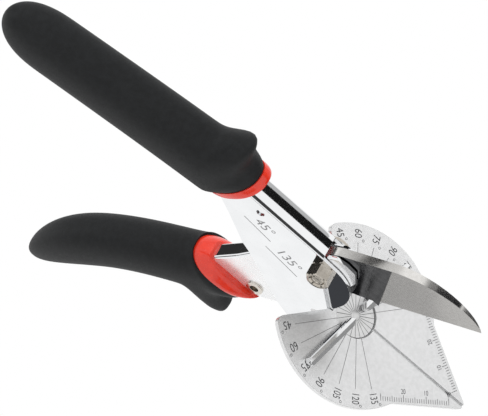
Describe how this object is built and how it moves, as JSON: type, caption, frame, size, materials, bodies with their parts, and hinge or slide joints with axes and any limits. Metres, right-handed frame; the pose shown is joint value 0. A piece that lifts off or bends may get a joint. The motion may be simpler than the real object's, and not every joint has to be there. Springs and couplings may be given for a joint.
{
  "type": "multi-angle mitre shears",
  "caption": "Hand shears for cutting trim at set angles: a hinged blade closes on an anvil plate with an angle scale and a turning fence.",
  "frame": {"origin": "centre of the bounding box in X and Y, at its lowest Z: the tool lies on its side on the edge of its anvil plate", "axes": "+X forward along the cutting groove, +Y normal to the anvil face towards the blade, +Z along the blade pivot towards the nut"},
  "size_m": [0.2237, 0.1758, 0.068],
  "materials": {
    "chromed_body": "bright chromed pressed steel",
    "chromed_lever": "bright chromed pressed steel",
    "soft_grip": "matte charcoal soft-touch dip",
    "red_trim": "glossy orange-red vinyl",
    "satin_plate": "satin stainless with etched scale",
    "dark_steel": "plain steel",
    "bright_steel": "bright steel",
    "bush_brass": "plain turned",
    "fastener_steel": "stainless fastener",
    "blade_steel": "ground and polished tool steel",
    "rivet_steel": "nickel-plated hollow rivet",
    "spring_steel": "spring wire",
    "disc_face": "satin white disc with index lines",
    "fence_chrome": "bright chromed bar"
  },
  "bodies": {
    "frame": {"body_channel": "chromed_body", "upper_grip": "soft_grip", "upper_collar": "red_trim", "anvil_plate": "satin_plate", "anvil_block": "dark_steel", "jaw_rivets": "bright_steel", "plate_screws": "dark_steel", "pivot_bush": "bush_brass", "pivot_bolt": "fastener_steel", "pivot_washer": "bright_steel", "pivot_nut": "fastener_steel", "stop_pin": "bright_steel"},
    "lever": {"lever_channel": "chromed_lever", "lower_grip": "soft_grip", "lower_collar": "red_trim", "blade": "blade_steel", "blade_spacers": "bright_steel", "blade_rivets": "bright_steel", "lever_rivet": "rivet_steel", "return_spring": "spring_steel"},
    "fence": {"index_disc": "disc_face", "fence_arm_near": "fence_chrome", "fence_arm_far": "fence_chrome", "fence_pins": "bright_steel", "fence_stud": "dark_steel", "fence_washer": "bright_steel", "fence_nut": "bright_steel"}
  },
  "joints": [
    {"name": "blade_close", "type": "hinge", "parent": "frame", "child": "lever", "pos_m": [0.0303, 0.0535, 0.034], "axis": [0, 0, -1], "range_deg": [0, 47.5], "stiffness_Nm_per_rad": 0.35, "springref_deg": -34.38, "deforming": ["return_spring"]},
    {"name": "fence_turn", "type": "hinge", "parent": "frame", "child": "fence", "pos_m": [0.0573, 0.0365, 0.034], "axis": [0, 1, 0], "range_deg": [-30, 60]}
  ]
}
